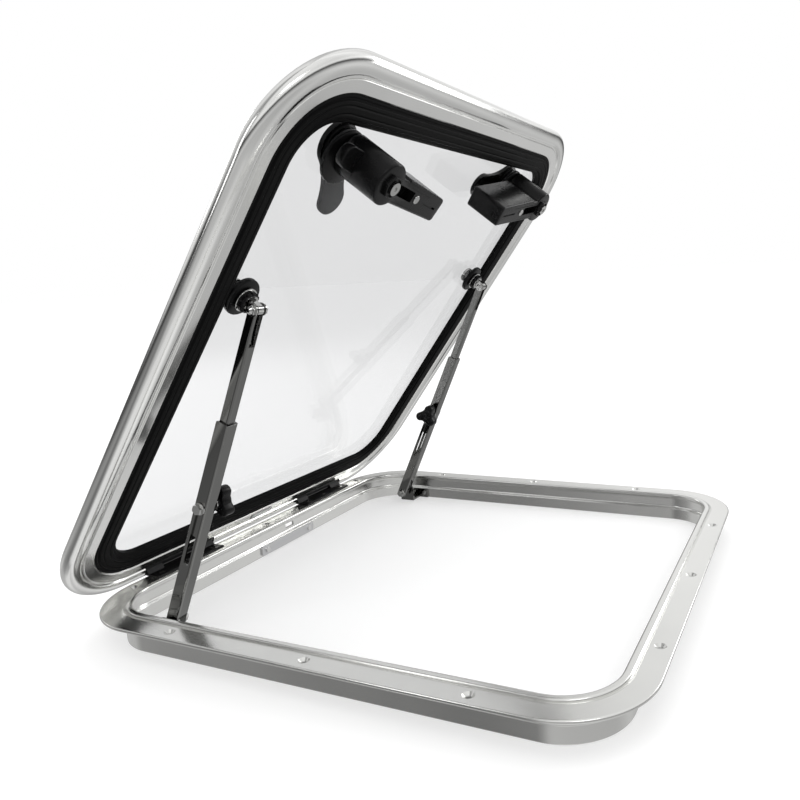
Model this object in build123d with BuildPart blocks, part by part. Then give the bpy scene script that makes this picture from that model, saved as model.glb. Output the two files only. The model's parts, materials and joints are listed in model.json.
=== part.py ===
from build123d import *
import math
import os

os.makedirs("parts", exist_ok=True)

# ---------------------------------------------------------------------------
# Deck hatch: a square base frame for the deck cut-out, a hinged glazed lid,
# two telescoping stays and two turning handles. Millimetres.
# X runs along the hinge line, +Y points to the hinge side, +Z is up.
# Z = 0 is the deck plane, which is the underside of the base flange.
# ---------------------------------------------------------------------------

# overall
FRAME_HALF = 260.0          # half width of the base flange
CORNER_CENTRE = 186.0       # all rounded corners share these centres
FLANGE_THICK = 3.0
LIP_TOP = 5.2               # top of the bead round the opening
FRAME_BOTTOM = -28.0

# lid, measured with the lid closed
HINGE_Y = 265.2             # hinge axis
HINGE_Z = 9.2
LID_ANGLE = 51.8            # opening angle of the lid
PANE_UNDER = 13.8
PANE_THICK = 10.0
PANE_HALF = 251.0

# hinges
HINGE_IN = 75.0             # each hinge spans these X distances
HINGE_OUT = 165.0
KNUCKLE_R = 4.2
PIN_R = 2.0
PIN_HOLE_R = 2.05
KNUCKLE_GAP = 0.3

# mounting screws of the flange
SCREW_LINE = 249.0
SCREW_STEP = 140.0
SCREW_CORNER = 190.0
SCREW_R = 2.6
SCREW_HEAD_R = 4.8

# stays
STAY_X = 207.0              # middle plane of each stay
FOOT_Y = 180.0              # lower pivot
FOOT_Z = -13.0
TOP_Y = -74.5               # upper pivot with the lid closed
TOP_Z = -6.2
CHANNEL_W = 13.0
CHANNEL_D = 12.2
CHANNEL_T = 1.5
CHANNEL_LEN = 212.0
ARM_W = 9.4
ARM_D = 8.8
ARM_T = 1.3
ARM_START = 98.0            # lower end of the arm, measured from the lower pivot
STUD_AT = 128.0             # clamp stud, measured from the lower pivot
STUD_R = 2.5
SLOT_START = 68.0
SLOT_END = 131.0

# handles, on the lid
HANDLE_X = 160.0
HANDLE_Y = -202.0
LEVER_TURN = 10.3           # the lever leans this much towards the hinge side
LEVER_REACH = 94.0
LEVER_ROOT_W = 24.0
LEVER_TIP_W = 21.6
LEVER_FACE = 44.8           # height of the lever's face off the pane
HUB_R = 17.3
HEAD_AT = 47.0              # round screw head in the lever's face, from the spindle
BASE_R = 22.0
BASE_SHIFT = (-5.0, 4.0)    # the round base sits off centre
PADDLE_REACH = 52.0
PADDLE_LEFT = 62.0          # angles of the outside grips, from the line between the handles
PADDLE_RIGHT = 12.0
SPINDLE_R = 5.0

HINGE_TURN = math.radians(LID_ANGLE)
SIN_A = math.sin(HINGE_TURN)
COS_A = math.cos(HINGE_TURN)


def open_point(y, z):
    """Where a point of the closed lid is with the lid open."""
    dy = y - HINGE_Y
    dz = z - HINGE_Z
    return HINGE_Y + dy * COS_A + dz * SIN_A, HINGE_Z - dy * SIN_A + dz * COS_A


# plane of the closed lid's XY, turned open about the hinge axis
lid_origin = open_point(0.0, 0.0)
LID = Plane(origin=(0, lid_origin[0], lid_origin[1]), x_dir=(1, 0, 0), z_dir=(0, SIN_A, COS_A))

# stay line from the lower pivot to the upper pivot, lid open
top_open = open_point(TOP_Y, TOP_Z)
stay_dy = top_open[0] - FOOT_Y
stay_dz = top_open[1] - FOOT_Z
STAY_LEN = math.hypot(stay_dy, stay_dz)
STAY_DIR = (0, stay_dy / STAY_LEN, stay_dz / STAY_LEN)


def rounded_path(half, plane):
    """Closed path round a square with the shared corner centres, starting mid-side at +X."""
    c = CORNER_CENTRE
    r = half - c
    k = r * math.sqrt(0.5)
    rows = [
        Line((half, 0), (half, c)),
        ThreePointArc((half, c), (c + k, c + k), (c, half)),
        Line((c, half), (-c, half)),
        ThreePointArc((-c, half), (-c - k, c + k), (-half, c)),
        Line((-half, c), (-half, -c)),
        ThreePointArc((-half, -c), (-c - k, -c - k), (-c, -half)),
        Line((-c, -half), (c, -half)),
        ThreePointArc((c, -half), (c + k, -c - k), (half, -c)),
        Line((half, -c), (half, 0)),
    ]
    return plane.from_local_coords(Wire(rows))


def section_plane(base):
    """Plane across the path at the middle of the +X side: local x outwards, local y along z."""
    origin = base.from_local_coords((0, 0, 0))
    return Plane(origin=origin, x_dir=base.x_dir, z_dir=-base.y_dir)


def slab(plane, half, z0, z1):
    """Rounded square plate between two heights."""
    with BuildPart(mode=Mode.PRIVATE) as plate:
        with BuildSketch(plane.offset(z0)):
            RectangleRounded(2 * half, 2 * half, half - CORNER_CENTRE)
        extrude(amount=z1 - z0)
    return plate.part


def stay_plane(x, along):
    """Plane across a stay: local x along X, local y to the rear side of the stay, z up the stay."""
    origin = (x, FOOT_Y + STAY_DIR[1] * along, FOOT_Z + STAY_DIR[2] * along)
    return Plane(origin=origin, x_dir=(1, 0, 0), z_dir=STAY_DIR)


def stay_side(x, along):
    """Plane parallel to the side of a stay: normal +X, local x up the stay."""
    origin = (x, FOOT_Y + STAY_DIR[1] * along, FOOT_Z + STAY_DIR[2] * along)
    return Plane(origin=origin, x_dir=STAY_DIR, z_dir=(1, 0, 0))


def lid_at(x, y, z):
    """Plane parallel to the lid at a point given in closed-lid coordinates."""
    return Plane(origin=LID.from_local_coords((x, y, z)), x_dir=(1, 0, 0), z_dir=LID.z_dir)


def handle_plane(side, z):
    """Plane across a handle spindle, local x along the lever; z is measured below the pane."""
    turn = math.radians(LEVER_TURN)
    origin = LID.from_local_coords((side * HANDLE_X, HANDLE_Y, PANE_UNDER - z))
    tip = LID.from_local_coords((-side * math.cos(turn), math.sin(turn), 0.0))
    zero = LID.from_local_coords((0.0, 0.0, 0.0))
    return Plane(origin=origin, x_dir=tip - zero, z_dir=-LID.z_dir)


# ===========================================================================
# base frame
# ===========================================================================

# flange, bead round the opening, recessed inner channel and lower skirt, all one bent extrusion
with BuildPart() as base_frame:
    with BuildSketch(section_plane(Plane.XY)) as frame_section:
        with BuildLine():
            Polyline(
                (259.2, 0.0), (241.6, 0.0), (241.6, -13.0), (240.8, -13.6), (240.8, FRAME_BOTTOM),
                (236.2, FRAME_BOTTOM), (236.2, -15.0), (237.8, -13.6), (238.9, -9.5), (238.9, -4.0),
                (237.8, -0.6), (236.2, 0.6), (232.9, 1.0), (232.4, 1.8), (232.4, 3.9),
            )
            ThreePointArc((232.4, 3.9), (235.4, LIP_TOP), (238.4, 4.2))
            Polyline(
                (238.4, 4.2), (239.0, 2.5), (240.3, 2.5), (240.7, FLANGE_THICK), (258.5, FLANGE_THICK),
            )
            ThreePointArc((258.5, FLANGE_THICK), (FRAME_HALF, 1.5), (259.2, 0.0))
        make_face()
    sweep(path=rounded_path(236.2, Plane.XY))
    # countersunk screw holes, three on each side
    for hx, hy in (
        [(s * SCREW_LINE, k * SCREW_STEP) for s in (-1, 1) for k in (-1, 0, 1)]
        + [(k * SCREW_STEP, -SCREW_LINE) for k in (-1, 0, 1)]
        + [(k * SCREW_CORNER, SCREW_LINE) for k in (-1, 0, 1)]
    ):
        with Locations((hx, hy, FLANGE_THICK)):
            CounterSinkHole(SCREW_R, SCREW_HEAD_R, depth=FLANGE_THICK + 1)
    # drain slot and joint window in the hinge side's inner wall
    with Locations((30, 238.5, -6.8)):
        Box(16, 9, 5, mode=Mode.SUBTRACT)
    # screw holes of the joint plate
    for sx in (-18, 60):
        with Locations(Plane(origin=(sx, 236.0, -21), z_dir=(0, 1, 0))):
            Cylinder(1.6, 14, mode=Mode.SUBTRACT)
base_frame.part.label = "base_frame"
export_step(base_frame.part, "parts/base_frame.step")

# flat plate across the joint of the bent frame, inside the hinge side wall
with BuildPart() as frame_joint_plate:
    with Locations((21, 235.1, -21)):
        Box(96, 2.0, 11)
    fillet(frame_joint_plate.edges().filter_by(Axis.Y), 2.0)
    for sx in (-18, 60):
        with Locations(Plane(origin=(sx, 235.0, -21), z_dir=(0, 1, 0))):
            Cylinder(1.6, 6, mode=Mode.SUBTRACT)
frame_joint_plate.part.label = "frame_joint_plate"
export_step(frame_joint_plate.part, "parts/frame_joint_plate.step")

# two pan-head screws through the joint plate
with BuildPart() as frame_joint_screws:
    for sx in (-18, 60):
        with BuildSketch(Plane(origin=(sx, 0, -21), x_dir=(1, 0, 0), z_dir=(0, -1, 0)).offset(-234.1)):
            Circle(3.2)
        extrude(amount=1.6)
        with BuildSketch(Plane(origin=(sx, 0, -21), x_dir=(1, 0, 0), z_dir=(0, 1, 0)).offset(234.1)):
            Circle(1.5)
        extrude(amount=5.9)
frame_joint_screws.part.label = "frame_joint_screws"
export_step(frame_joint_screws.part, "parts/frame_joint_screws.step")

# ===========================================================================
# hinges: base leaf, lid leaf and pin on each side
# ===========================================================================


def hinge_base(side):
    x_mid = side * (HINGE_IN + HINGE_OUT) / 2
    length = HINGE_OUT - HINGE_IN
    third = length / 2 - 20.0
    with BuildPart(mode=Mode.PRIVATE) as leaf:
        with Locations((x_mid, 252.9, 3.8)):
            Box(length, 17.0, 1.6)
        for part_side in (-1, 1):
            x0 = x_mid + part_side * (third + 10.0)
            with BuildSketch(Plane(origin=(x0 - 10.0, 0, 0), x_dir=(0, 1, 0), z_dir=(1, 0, 0))):
                with Locations((HINGE_Y, HINGE_Z)):
                    Circle(KNUCKLE_R)
                with BuildLine():
                    Polyline((258.0, 3.0), (261.4, 3.0), (268.4, 6.6), (265.2, 9.2), (261.0, 9.2),
                             (258.0, 4.6), close=True)
                make_face()
            extrude(amount=20.0)
        with BuildSketch(Plane(origin=(x_mid - length / 2 - 1, 0, 0), x_dir=(0, 1, 0), z_dir=(1, 0, 0))):
            with Locations((HINGE_Y, HINGE_Z)):
                Circle(PIN_HOLE_R)
        extrude(amount=length + 2, mode=Mode.SUBTRACT)
        for sx in (-35, 0, 35):
            with Locations((x_mid + sx, 250.5, 4.6)):
                CounterSinkHole(1.6, 3.0, depth=4)
    return leaf.part


def hinge_lid(side):
    x_mid = side * (HINGE_IN + HINGE_OUT) / 2
    length = HINGE_OUT - HINGE_IN
    inner = length - 40.0 - 2 * KNUCKLE_GAP
    start = LID.from_local_coords((x_mid - inner / 2, 0, 0))
    with BuildPart(mode=Mode.PRIVATE) as leaf:
        with BuildSketch(Plane(origin=start, x_dir=LID.y_dir, z_dir=(1, 0, 0))):
            with Locations((HINGE_Y, HINGE_Z)):
                Circle(KNUCKLE_R)
            with BuildLine():
                Polyline((262.4, 9.2), (268.6, 9.2), (269.6, 12.8), (269.6, 14.4), (261.2, 14.4),
                         (261.2, 12.8), close=True)
            make_face()
        extrude(amount=inner)
        with BuildSketch(Plane(origin=start, x_dir=LID.y_dir, z_dir=(1, 0, 0)).offset(-1)):
            with Locations((HINGE_Y, HINGE_Z)):
                Circle(PIN_HOLE_R)
        extrude(amount=inner + 2, mode=Mode.SUBTRACT)
    return leaf.part


def hinge_pin(side):
    x_mid = side * (HINGE_IN + HINGE_OUT) / 2
    length = HINGE_OUT - HINGE_IN + 2.0
    with BuildPart(mode=Mode.PRIVATE) as pin:
        with BuildSketch(Plane(origin=(x_mid - length / 2, HINGE_Y, HINGE_Z), z_dir=(1, 0, 0))):
            Circle(PIN_R)
        extrude(amount=length)
        chamfer(pin.edges().filter_by(GeomType.CIRCLE), 0.4)
    return pin.part


with BuildPart() as hinge_base_left:
    add(hinge_base(-1))
hinge_base_left.part.label = "hinge_base_left"
export_step(hinge_base_left.part, "parts/hinge_base_left.step")

with BuildPart() as hinge_base_right:
    add(hinge_base(1))
hinge_base_right.part.label = "hinge_base_right"
export_step(hinge_base_right.part, "parts/hinge_base_right.step")

with BuildPart() as hinge_lid_left:
    add(hinge_lid(-1))
hinge_lid_left.part.label = "hinge_lid_left"
export_step(hinge_lid_left.part, "parts/hinge_lid_left.step")

with BuildPart() as hinge_lid_right:
    add(hinge_lid(1))
hinge_lid_right.part.label = "hinge_lid_right"
export_step(hinge_lid_right.part, "parts/hinge_lid_right.step")

with BuildPart() as hinge_pin_left:
    add(hinge_pin(-1))
hinge_pin_left.part.label = "hinge_pin_left"
export_step(hinge_pin_left.part, "parts/hinge_pin_left.step")

with BuildPart() as hinge_pin_right:
    add(hinge_pin(1))
hinge_pin_right.part.label = "hinge_pin_right"
export_step(hinge_pin_right.part, "parts/hinge_pin_right.step")

# countersunk screws that hold the base leaves down on the flange
with BuildPart() as hinge_screws:
    for side in (-1, 1):
        for sx in (-35, 0, 35):
            x = side * (HINGE_IN + HINGE_OUT) / 2 + sx
            with BuildSketch(Plane.XY.offset(3.05)):
                with Locations((x, 250.5)):
                    Circle(1.4)
            with BuildSketch(Plane.XY.offset(4.55)):
                with Locations((x, 250.5)):
                    Circle(2.85)
            loft()
hinge_screws.part.label = "hinge_screws"
export_step(hinge_screws.part, "parts/hinge_screws.step")

# ===========================================================================
# lid
# ===========================================================================

# lid extrusion: ledge under the pane, flat band, groove and wide rounded rim
with BuildPart() as lid_frame:
    with BuildSketch(section_plane(LID)) as rim_section:
        with BuildLine():
            Polyline(
                (228.0, 13.5), (228.0, 11.3), (246.6, 11.3), (246.6, 6.7), (247.4, 5.9), (248.6, 5.6),
                (257.4, 5.3), (258.2, 6.4), (259.6, 6.4), (260.4, 5.2),
            )
            Spline(
                (260.4, 5.2), (265.0, 3.8), (270.6, 5.3), (274.8, 10.6), (272.6, 16.3), (265.6, 20.6),
                (255.6, 22.6),
                tangents=((0.8, -0.5), (-1.0, 0.12)),
            )
            Polyline((255.6, 22.6), (254.0, 22.0), (254.0, 13.5), (228.0, 13.5))
        make_face()
    sweep(path=rounded_path(254.0, LID))
    # pockets in the rim that clear the hinge knuckles
    for side in (-1, 1):
        with Locations(lid_at(side * (HINGE_IN + HINGE_OUT) / 2, 265.4, 8.0)):
            Box(HINGE_OUT - HINGE_IN + 4.0, 13.6, 13.0, mode=Mode.SUBTRACT)
lid_frame.part.label = "lid_frame"
export_step(lid_frame.part, "parts/lid_frame.step")

# clear acrylic pane, bored for the handle spindles and the stay screws
with BuildPart() as lid_pane:
    add(slab(LID, PANE_HALF, PANE_UNDER, PANE_UNDER + PANE_THICK))
    fillet(lid_pane.faces().sort_by(Axis((0, 0, 0), LID.z_dir))[-1].edges(), 1.0)
    for side in (-1, 1):
        with Locations(lid_at(side * HANDLE_X, HANDLE_Y, PANE_UNDER + 5)):
            Cylinder(6.2, 20, mode=Mode.SUBTRACT)
        with Locations(lid_at(side * STAY_X, TOP_Y, PANE_UNDER + 5)):
            Cylinder(3.3, 20, mode=Mode.SUBTRACT)
lid_pane.part.label = "lid_pane"
export_step(lid_pane.part, "parts/lid_pane.step")

# sealant bead between the pane's edge and the rim
with BuildPart() as pane_sealant:
    add(slab(LID, 253.7, PANE_UNDER, PANE_UNDER + 7.6))
    add(slab(LID, PANE_HALF + 0.3, PANE_UNDER - 1.0, PANE_UNDER + 9.0), mode=Mode.SUBTRACT)
pane_sealant.part.label = "pane_sealant"
export_step(pane_sealant.part, "parts/pane_sealant.step")

# ribbed rubber seal under the ledge; it rests on the base frame's bead when shut
with BuildPart() as lid_gasket:
    with BuildSketch(section_plane(LID)) as seal_section:
        with BuildLine():
            Polyline(
                (224.0, 13.5), (224.0, 9.6), (225.2, 8.2), (226.8, 7.4), (228.0, 7.6), (229.0, 5.8),
                (231.2, 5.5), (232.2, 6.1), (233.2, 5.5), (237.4, 5.5), (238.4, 6.1), (239.4, 5.5),
                (241.6, 5.7), (242.4, 7.2), (243.6, 7.2), (244.4, 6.6), (246.0, 6.8), (246.3, 7.4),
                (246.3, 11.1), (227.7, 11.1), (227.7, 13.5), close=True,
            )
        make_face()
    sweep(path=rounded_path(227.7, LID))
lid_gasket.part.label = "lid_gasket"
export_step(lid_gasket.part, "parts/lid_gasket.step")

# thin cover plate over the joint of the bent rim, on the hinge side
with BuildPart() as lid_joint_plate:
    with Locations(lid_at(0, 252.9, 4.95)):
        Box(34, 8.0, 0.6)
lid_joint_plate.part.label = "lid_joint_plate"
export_step(lid_joint_plate.part, "parts/lid_joint_plate.step")

# ===========================================================================
# stays
# ===========================================================================


def stay_pad(side):
    """Round black foot bedded on the pane, with a fluted neck."""
    with BuildPart(mode=Mode.PRIVATE) as pad:
        with BuildSketch(lid_at(side * STAY_X, TOP_Y, PANE_UNDER - 0.3)):
            Circle(13.0)
        extrude(amount=-1.0)
        with BuildSketch(lid_at(side * STAY_X, TOP_Y, PANE_UNDER - 1.3)):
            Circle(16.3)
        extrude(amount=-4.4)
        chamfer(pad.faces().sort_by(Axis((0, 0, 0), LID.z_dir))[0].edges(), 1.2)
        with BuildSketch(lid_at(side * STAY_X, TOP_Y, PANE_UNDER - 5.7)):
            Circle(8.2)
        extrude(amount=-1.6)
        with Locations(lid_at(side * STAY_X, TOP_Y, PANE_UNDER - 4)):
            Cylinder(3.1, 12, mode=Mode.SUBTRACT)
    return pad.part


def stay_ring(side):
    """Bright washer on the pad."""
    with BuildPart(mode=Mode.PRIVATE) as ring:
        with BuildSketch(lid_at(side * STAY_X, TOP_Y, PANE_UNDER - 7.3)):
            Circle(10.5)
            Circle(3.1, mode=Mode.SUBTRACT)
        extrude(amount=-1.2)
    return ring.part


def stay_neck(side):
    """Fluted black collar between the washer and the lug."""
    with BuildPart(mode=Mode.PRIVATE) as neck:
        with BuildSketch(lid_at(side * STAY_X, TOP_Y, PANE_UNDER - 8.5)):
            Circle(9.2)
            with PolarLocations(9.6, 12):
                Circle(1.1, mode=Mode.SUBTRACT)
            Circle(3.1, mode=Mode.SUBTRACT)
        extrude(amount=-4.0)
    return neck.part


def stay_lug(side):
    """Steel lug with its flange, standing between the arm's ears."""
    with BuildPart(mode=Mode.PRIVATE) as lug:
        with BuildSketch(lid_at(side * STAY_X, TOP_Y, PANE_UNDER - 12.5)):
            Circle(7.2)
        extrude(amount=-1.0)
        side_plane = Plane(origin=LID.from_local_coords((side * STAY_X - 2.9, TOP_Y, 0)),
                           x_dir=LID.y_dir, z_dir=(1, 0, 0))
        with BuildSketch(side_plane):
            with Locations((0, TOP_Z)):
                Circle(4.6)
            with Locations((0, (TOP_Z + PANE_UNDER - 13.0) / 2)):
                Rectangle(9.2, abs(TOP_Z - PANE_UNDER + 13.0))
        extrude(amount=5.8)
    return lug.part


def stay_screw(side):
    """Screw through the pane with a low round head outside."""
    with BuildPart(mode=Mode.PRIVATE) as screw:
        with BuildSketch(lid_at(side * STAY_X, TOP_Y, PANE_UNDER + PANE_THICK + 0.3)):
            Circle(9.0)
        extrude(amount=3.2)
        fillet(screw.faces().sort_by(Axis((0, 0, 0), LID.z_dir))[-1].edges(), 1.8)
        with BuildSketch(lid_at(side * STAY_X, TOP_Y, PANE_UNDER + PANE_THICK + 0.3)):
            Circle(2.9)
        extrude(amount=-(PANE_THICK + 0.3 + 12.3))
    return screw.part


def stay_arm(side):
    """Upper U-section arm; its ears carry short pivot stubs beside the lug."""
    length = STAY_LEN - ARM_START
    with BuildPart(mode=Mode.PRIVATE) as arm:
        with BuildSketch(stay_plane(side * STAY_X, ARM_START)):
            Rectangle(ARM_W, ARM_D)
            with Locations((0, ARM_T)):
                Rectangle(ARM_W - 2 * ARM_T, ARM_D, mode=Mode.SUBTRACT)
        extrude(amount=length)
        # rounded ears and the cut-back web at the upper end
        with BuildSketch(stay_side(side * STAY_X - ARM_W / 2, STAY_LEN)):
            Circle(ARM_D / 2)
        extrude(amount=ARM_W)
        with BuildSketch(stay_side(side * STAY_X - ARM_W / 2 + ARM_T, STAY_LEN)):
            with Locations((-12.0, 0)):
                Rectangle(36.0, ARM_D + 2)
        extrude(amount=ARM_W - 2 * ARM_T, mode=Mode.SUBTRACT)
        # hole for the clamp stud
        with BuildSketch(stay_side(side * STAY_X - 10, STUD_AT)):
            Circle(STUD_R + 0.05)
        extrude(amount=20, mode=Mode.SUBTRACT)
    return arm.part


def stay_pivot(side):
    """Pivot screw heads outside the arm's ears: a dome nut and a hexagon head."""
    with BuildPart(mode=Mode.PRIVATE) as pivot:
        for end in (-1, 1):
            face = side * STAY_X + end * ARM_W / 2
            flat = Plane(origin=(face, top_open[0], top_open[1]), x_dir=STAY_DIR, z_dir=(end, 0, 0))
            with BuildSketch(flat):
                Circle(5.2)
            extrude(amount=0.9)
            with BuildSketch(flat.offset(0.9)):
                RegularPolygon(4.4, 6)
            extrude(amount=2.6)
            if end == -1:
                with BuildSketch(flat.offset(3.5)):
                    Circle(3.3)
                with BuildSketch(flat.offset(5.4)):
                    Circle(1.6)
                loft()
    return pivot.part


def stay_channel(side):
    """Lower slotted U-section channel around the arm."""
    with BuildPart(mode=Mode.PRIVATE) as channel:
        with BuildSketch(stay_plane(side * STAY_X, 0)):
            Rectangle(CHANNEL_W, CHANNEL_D)
            with Locations((0, CHANNEL_T)):
                Rectangle(CHANNEL_W - 2 * CHANNEL_T, CHANNEL_D, mode=Mode.SUBTRACT)
        extrude(amount=CHANNEL_LEN)
        with BuildSketch(stay_side(side * STAY_X - CHANNEL_W / 2, 0)):
            Circle(CHANNEL_D / 2)
        extrude(amount=CHANNEL_W)
        with BuildSketch(stay_side(side * STAY_X - CHANNEL_W / 2 + CHANNEL_T, 0)):
            Rectangle(20.0, CHANNEL_D + 2)
        extrude(amount=CHANNEL_W - 2 * CHANNEL_T, mode=Mode.SUBTRACT)
        # long slot for the clamp stud, through both sides
        with BuildSketch(stay_side(side * STAY_X - 10, (SLOT_START + SLOT_END) / 2)):
            SlotOverall(SLOT_END - SLOT_START, 2 * STUD_R + 0.6)
        extrude(amount=20, mode=Mode.SUBTRACT)
        # hole for the lower pivot bolt
        with BuildSketch(stay_side(side * STAY_X - 10, 0)):
            Circle(2.55)
        extrude(amount=20, mode=Mode.SUBTRACT)
    return channel.part


def clamp_stud(side):
    """Clamp stud through arm and slot, hexagon head on the outer side."""
    start = side * (STAY_X + CHANNEL_W / 2 + 0.3)
    flat = Plane(origin=(start, FOOT_Y + STAY_DIR[1] * STUD_AT, FOOT_Z + STAY_DIR[2] * STUD_AT),
                 x_dir=STAY_DIR, z_dir=(side, 0, 0))
    with BuildPart(mode=Mode.PRIVATE) as stud:
        with BuildSketch(flat):
            Circle(5.5)
        extrude(amount=1.0)
        with BuildSketch(flat.offset(1.0)):
            RegularPolygon(4.7, 6)
        extrude(amount=3.4)
        with BuildSketch(flat):
            Circle(STUD_R)
        extrude(amount=-(CHANNEL_W + 0.6 + 9.0))
    return stud.part


def clamp_knob(side):
    """Black three-lobed clamp knob on the inner side."""
    start = side * (STAY_X - CHANNEL_W / 2 - 1.6)
    flat = Plane(origin=(start, FOOT_Y + STAY_DIR[1] * STUD_AT, FOOT_Z + STAY_DIR[2] * STUD_AT),
                 x_dir=STAY_DIR, z_dir=(-side, 0, 0))
    with BuildPart(mode=Mode.PRIVATE) as knob:
        with BuildSketch(flat):
            Circle(6.2)
        extrude(amount=4.0)
        with BuildSketch(flat.offset(4.0)):
            Circle(8.6)
            with PolarLocations(9.4, 3):
                Circle(5.6)
        extrude(amount=11.0)
        fillet(knob.faces().sort_by(Axis((0, 0, 0), (-side, 0, 0)))[-1].edges(), 1.2)
        with BuildSketch(flat):
            Circle(STUD_R + 0.05)
        extrude(amount=8.5, mode=Mode.SUBTRACT)
    return knob.part


def clamp_washer(side):
    """Thin washer between knob and channel."""
    start = side * (STAY_X - CHANNEL_W / 2 - 0.3)
    flat = Plane(origin=(start, FOOT_Y + STAY_DIR[1] * STUD_AT, FOOT_Z + STAY_DIR[2] * STUD_AT),
                 x_dir=STAY_DIR, z_dir=(-side, 0, 0))
    with BuildPart(mode=Mode.PRIVATE) as washer:
        with BuildSketch(flat):
            Circle(6.6)
            Circle(STUD_R + 0.3, mode=Mode.SUBTRACT)
        extrude(amount=1.1)
    return washer.part


def foot_bracket(side):
    """Cranked bracket from the inner wall to the lower pivot."""
    with BuildPart(mode=Mode.PRIVATE) as bracket:
        with Locations((side * 234.7, FOOT_Y - 9, -21.5)):
            Box(2.6, 28, 12)
        with Locations((side * 225.6, FOOT_Y, -26.3)):
            Box(20.8, 20, 2.4)
        with Locations((side * 216.5, FOOT_Y, -17.1)):
            Box(2.6, 20, 20.8)
        fillet(bracket.edges().filter_by(Axis.X).group_by(Axis.Z)[-1], 5.0)
        with Locations(Plane(origin=(side * 216.5, FOOT_Y, FOOT_Z), z_dir=(1, 0, 0))):
            Cylinder(2.6, 8, mode=Mode.SUBTRACT)
        for sy in (-18, 0):
            with Locations(Plane(origin=(side * 234.7, FOOT_Y + sy, -20.5), z_dir=(1, 0, 0))):
                Cylinder(1.6, 8, mode=Mode.SUBTRACT)
    return bracket.part


def foot_bolt(side):
    """Lower pivot bolt with a hexagon nut on the inner side."""
    flat = Plane(origin=(side * 221.4, FOOT_Y, FOOT_Z), x_dir=(0, 1, 0), z_dir=(-side, 0, 0))
    with BuildPart(mode=Mode.PRIVATE) as bolt:
        with BuildSketch(flat):
            RegularPolygon(4.4, 6)
        extrude(amount=3.2)
        with BuildSketch(flat.offset(3.2)):
            Circle(2.5)
        extrude(amount=24.0)
        with BuildSketch(flat.offset(21.2)):
            Circle(5.4)
        extrude(amount=0.9)
        with BuildSketch(flat.offset(22.1)):
            RegularPolygon(4.7, 6)
        extrude(amount=3.2)
    return bolt.part


with BuildPart() as stay_pad_left:
    add(stay_pad(-1))
stay_pad_left.part.label = "stay_pad_left"
export_step(stay_pad_left.part, "parts/stay_pad_left.step")

with BuildPart() as stay_pad_right:
    add(stay_pad(1))
stay_pad_right.part.label = "stay_pad_right"
export_step(stay_pad_right.part, "parts/stay_pad_right.step")

with BuildPart() as stay_ring_left:
    add(stay_ring(-1))
stay_ring_left.part.label = "stay_ring_left"
export_step(stay_ring_left.part, "parts/stay_ring_left.step")

with BuildPart() as stay_ring_right:
    add(stay_ring(1))
stay_ring_right.part.label = "stay_ring_right"
export_step(stay_ring_right.part, "parts/stay_ring_right.step")

with BuildPart() as stay_neck_left:
    add(stay_neck(-1))
stay_neck_left.part.label = "stay_neck_left"
export_step(stay_neck_left.part, "parts/stay_neck_left.step")

with BuildPart() as stay_neck_right:
    add(stay_neck(1))
stay_neck_right.part.label = "stay_neck_right"
export_step(stay_neck_right.part, "parts/stay_neck_right.step")

with BuildPart() as stay_lug_left:
    add(stay_lug(-1))
stay_lug_left.part.label = "stay_lug_left"
export_step(stay_lug_left.part, "parts/stay_lug_left.step")

with BuildPart() as stay_lug_right:
    add(stay_lug(1))
stay_lug_right.part.label = "stay_lug_right"
export_step(stay_lug_right.part, "parts/stay_lug_right.step")

# the two screws that hold the pads through the pane
with BuildPart() as stay_pad_screws:
    add(stay_screw(-1))
    add(stay_screw(1))
stay_pad_screws.part.label = "stay_pad_screws"
export_step(stay_pad_screws.part, "parts/stay_pad_screws.step")

with BuildPart() as stay_arm_left:
    add(stay_arm(-1))
stay_arm_left.part.label = "stay_arm_left"
export_step(stay_arm_left.part, "parts/stay_arm_left.step")

with BuildPart() as stay_arm_right:
    add(stay_arm(1))
stay_arm_right.part.label = "stay_arm_right"
export_step(stay_arm_right.part, "parts/stay_arm_right.step")

with BuildPart() as stay_pivot_left:
    add(stay_pivot(-1))
stay_pivot_left.part.label = "stay_pivot_left"
export_step(stay_pivot_left.part, "parts/stay_pivot_left.step")

with BuildPart() as stay_pivot_right:
    add(stay_pivot(1))
stay_pivot_right.part.label = "stay_pivot_right"
export_step(stay_pivot_right.part, "parts/stay_pivot_right.step")

with BuildPart() as stay_channel_left:
    add(stay_channel(-1))
stay_channel_left.part.label = "stay_channel_left"
export_step(stay_channel_left.part, "parts/stay_channel_left.step")

with BuildPart() as stay_channel_right:
    add(stay_channel(1))
stay_channel_right.part.label = "stay_channel_right"
export_step(stay_channel_right.part, "parts/stay_channel_right.step")

with BuildPart() as clamp_stud_left:
    add(clamp_stud(-1))
clamp_stud_left.part.label = "clamp_stud_left"
export_step(clamp_stud_left.part, "parts/clamp_stud_left.step")

with BuildPart() as clamp_stud_right:
    add(clamp_stud(1))
clamp_stud_right.part.label = "clamp_stud_right"
export_step(clamp_stud_right.part, "parts/clamp_stud_right.step")

with BuildPart() as clamp_washer_left:
    add(clamp_washer(-1))
clamp_washer_left.part.label = "clamp_washer_left"
export_step(clamp_washer_left.part, "parts/clamp_washer_left.step")

with BuildPart() as clamp_washer_right:
    add(clamp_washer(1))
clamp_washer_right.part.label = "clamp_washer_right"
export_step(clamp_washer_right.part, "parts/clamp_washer_right.step")

with BuildPart() as clamp_knob_left:
    add(clamp_knob(-1))
clamp_knob_left.part.label = "clamp_knob_left"
export_step(clamp_knob_left.part, "parts/clamp_knob_left.step")

with BuildPart() as clamp_knob_right:
    add(clamp_knob(1))
clamp_knob_right.part.label = "clamp_knob_right"
export_step(clamp_knob_right.part, "parts/clamp_knob_right.step")

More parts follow.
